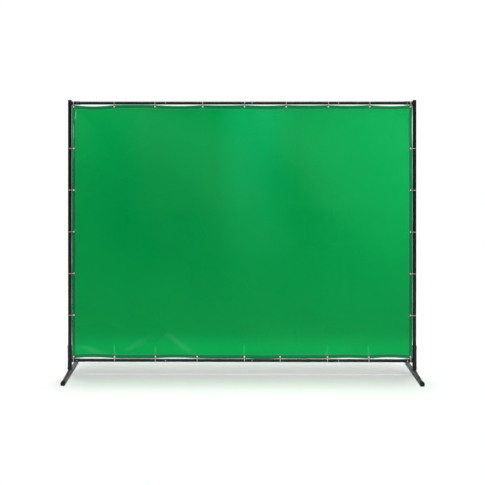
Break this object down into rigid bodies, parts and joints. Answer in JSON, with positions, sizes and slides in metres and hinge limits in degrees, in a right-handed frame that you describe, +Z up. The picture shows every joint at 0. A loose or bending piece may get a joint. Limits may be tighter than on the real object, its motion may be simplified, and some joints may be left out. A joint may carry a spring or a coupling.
{
  "type": "welding curtain screen",
  "caption": "Free-standing black tube frame on two swivelling bowed feet, with a translucent green vinyl welding curtain tied inside it.",
  "frame": {"origin": "on the floor, midway between the two feet and under the middle of the curtain", "axes": "+X along the screen to its right seen from the front, -Y towards the front, +Z up"},
  "size_m": [2.4492, 0.61, 1.922],
  "materials": {
    "powder_coated_steel": "satin black powder coat",
    "black_vinyl": "matte black vinyl",
    "zinc_plated_steel": "bright zinc plate",
    "natural_nylon": "natural nylon",
    "green_vinyl": "translucent green vinyl, semi-gloss"
  },
  "bodies": {
    "frame": {"post_left": "powder_coated_steel", "base_upright_left": "powder_coated_steel", "post_cap_left": "black_vinyl", "post_right": "powder_coated_steel", "base_upright_right": "powder_coated_steel", "post_cap_right": "black_vinyl", "top_rail_1": "powder_coated_steel", "top_rail_2": "powder_coated_steel", "top_rail_3": "powder_coated_steel", "top_rail_4": "powder_coated_steel", "bottom_rail_1": "powder_coated_steel", "bottom_rail_2": "powder_coated_steel", "bottom_rail_3": "powder_coated_steel", "bottom_rail_4": "powder_coated_steel", "curtain": "green_vinyl", "tie_top_1": "natural_nylon", "tie_top_2": "natural_nylon", "tie_top_3": "natural_nylon", "tie_top_4": "natural_nylon", "tie_top_5": "natural_nylon", "tie_top_6": "natural_nylon", "tie_top_7": "natural_nylon", "tie_bottom_1": "natural_nylon", "tie_bottom_2": "natural_nylon", "tie_bottom_3": "natural_nylon", "tie_bottom_4": "natural_nylon", "tie_bottom_5": "natural_nylon", "tie_bottom_6": "natural_nylon", "tie_bottom_7": "natural_nylon", "tie_left_1": "natural_nylon", "tie_left_2": "natural_nylon", "tie_left_3": "natural_nylon", "tie_left_4": "natural_nylon", "tie_left_5": "natural_nylon", "tie_right_1": "natural_nylon", "tie_right_2": "natural_nylon", "tie_right_3": "natural_nylon", "tie_right_4": "natural_nylon", "tie_right_5": "natural_nylon"},
    "foot_left": {"foot_left": "powder_coated_steel", "foot_cap_left_front": "black_vinyl", "foot_cap_left_rear": "black_vinyl"},
    "post_screw_left": {"post_screw_left": "zinc_plated_steel"},
    "foot_screw_left": {"foot_screw_left": "zinc_plated_steel"},
    "foot_right": {"foot_right": "powder_coated_steel", "foot_cap_right_front": "black_vinyl", "foot_cap_right_rear": "black_vinyl"},
    "post_screw_right": {"post_screw_right": "zinc_plated_steel"},
    "foot_screw_right": {"foot_screw_right": "zinc_plated_steel"},
    "snap_button_top_1": {"snap_button_top_1": "zinc_plated_steel"},
    "snap_button_top_2": {"snap_button_top_2": "zinc_plated_steel"},
    "snap_button_top_3": {"snap_button_top_3": "zinc_plated_steel"},
    "snap_button_top_4": {"snap_button_top_4": "zinc_plated_steel"},
    "snap_button_top_5": {"snap_button_top_5": "zinc_plated_steel"},
    "snap_button_bottom_1": {"snap_button_bottom_1": "zinc_plated_steel"},
    "snap_button_bottom_2": {"snap_button_bottom_2": "zinc_plated_steel"},
    "snap_button_bottom_3": {"snap_button_bottom_3": "zinc_plated_steel"},
    "snap_button_bottom_4": {"snap_button_bottom_4": "zinc_plated_steel"},
    "snap_button_bottom_5": {"snap_button_bottom_5": "zinc_plated_steel"}
  },
  "joints": [
    {"name": "foot_swivel_left", "type": "hinge", "parent": "frame", "child": "foot_left", "pos_m": [-1.2063, 0, 0], "axis": [0, 0, 1], "range_deg": [-90, 90]},
    {"name": "post_screw_left_turn", "type": "hinge", "parent": "frame", "child": "post_screw_left", "pos_m": [-1.2213, 0, 0.188], "axis": [-1, 0, 0], "range_deg": [0, 720]},
    {"name": "foot_screw_left_turn", "type": "hinge", "parent": "frame", "child": "foot_screw_left", "pos_m": [-1.2213, 0, 0.045], "axis": [-1, 0, 0], "range_deg": [0, 720]},
    {"name": "foot_swivel_right", "type": "hinge", "parent": "frame", "child": "foot_right", "pos_m": [1.2063, 0, 0], "axis": [0, 0, 1], "range_deg": [-90, 90]},
    {"name": "post_screw_right_turn", "type": "hinge", "parent": "frame", "child": "post_screw_right", "pos_m": [1.2213, 0, 0.188], "axis": [1, 0, 0], "range_deg": [0, 720]},
    {"name": "foot_screw_right_turn", "type": "hinge", "parent": "frame", "child": "foot_screw_right", "pos_m": [1.2213, 0, 0.045], "axis": [1, 0, 0], "range_deg": [0, 720]},
    {"name": "snap_button_top_1_press", "type": "slide", "parent": "frame", "child": "snap_button_top_1", "axis": [0, 1, 0], "range_m": [0, 0.0043], "stiffness_N_per_m": 2000},
    {"name": "snap_button_top_2_press", "type": "slide", "parent": "frame", "child": "snap_button_top_2", "axis": [0, 1, 0], "range_m": [0, 0.0042], "stiffness_N_per_m": 2000},
    {"name": "snap_button_top_3_press", "type": "slide", "parent": "frame", "child": "snap_button_top_3", "axis": [0, 1, 0], "range_m": [0, 0.0042], "stiffness_N_per_m": 2000},
    {"name": "snap_button_top_4_press", "type": "slide", "parent": "frame", "child": "snap_button_top_4", "axis": [0, 1, 0], "range_m": [0, 0.0042], "stiffness_N_per_m": 2000},
    {"name": "snap_button_top_5_press", "type": "slide", "parent": "frame", "child": "snap_button_top_5", "axis": [0, 1, 0], "range_m": [0, 0.0043], "stiffness_N_per_m": 2000},
    {"name": "snap_button_bottom_1_press", "type": "slide", "parent": "frame", "child": "snap_button_bottom_1", "axis": [0, 1, 0], "range_m": [0, 0.0043], "stiffness_N_per_m": 2000},
    {"name": "snap_button_bottom_2_press", "type": "slide", "parent": "frame", "child": "snap_button_bottom_2", "axis": [0, 1, 0], "range_m": [0, 0.0042], "stiffness_N_per_m": 2000},
    {"name": "snap_button_bottom_3_press", "type": "slide", "parent": "frame", "child": "snap_button_bottom_3", "axis": [0, 1, 0], "range_m": [0, 0.0042], "stiffness_N_per_m": 2000},
    {"name": "snap_button_bottom_4_press", "type": "slide", "parent": "frame", "child": "snap_button_bottom_4", "axis": [0, 1, 0], "range_m": [0, 0.0042], "stiffness_N_per_m": 2000},
    {"name": "snap_button_bottom_5_press", "type": "slide", "parent": "frame", "child": "snap_button_bottom_5", "axis": [0, 1, 0], "range_m": [0, 0.0043], "stiffness_N_per_m": 2000}
  ]
}
